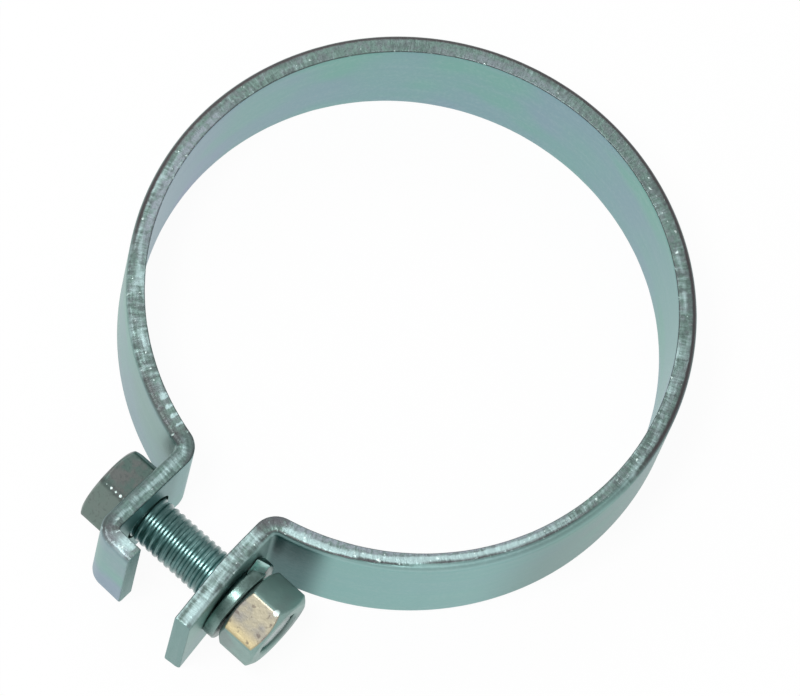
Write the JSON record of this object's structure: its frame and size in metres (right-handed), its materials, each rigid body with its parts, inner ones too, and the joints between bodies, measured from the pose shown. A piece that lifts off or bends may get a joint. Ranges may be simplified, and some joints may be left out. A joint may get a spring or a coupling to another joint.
{
  "type": "exhaust clamp",
  "caption": "Flat steel strip bent round a pipe into a ring with facing ears, one with a folded lip, drawn tight by a hex bolt, a spring washer and a nut.",
  "frame": {"origin": "on the axis of the clamped pipe, halfway up the band", "axes": "Z runs along the pipe, X along the bolt with its head at -X and its nut at +X, and the ears stand out of the ring towards -Y"},
  "size_m": [0.09, 0.1097, 0.02],
  "materials": {
    "strip_zinc": "blue-green passivated zinc plating on rolled strip",
    "bolt_zinc": "dark blue-green passivated zinc plating",
    "washer_zinc": "grey-green passivated zinc plating",
    "nut_zinc": "zinc plating with a golden tint"
  },
  "bodies": {
    "band": {"clamp_band": "strip_zinc", "spring_washer": "washer_zinc"},
    "bolt": {"bolt": "bolt_zinc"},
    "nut": {"nut": "nut_zinc"}
  },
  "joints": [
    {"name": "bolt_turn", "type": "hinge", "parent": "band", "child": "bolt", "pos_m": [0, -0.05245, 0], "axis": [1, 0, 0], "range_deg": [-1440, 0]},
    {"name": "nut_travel", "type": "slide", "parent": "band", "child": "nut", "axis": [1, 0, 0], "range_m": [0, 0.0051]}
  ],
  "couplings": [
    {"joint": "nut_travel", "follows": "bolt_turn", "m_per_rad": -0.00019894}
  ]
}
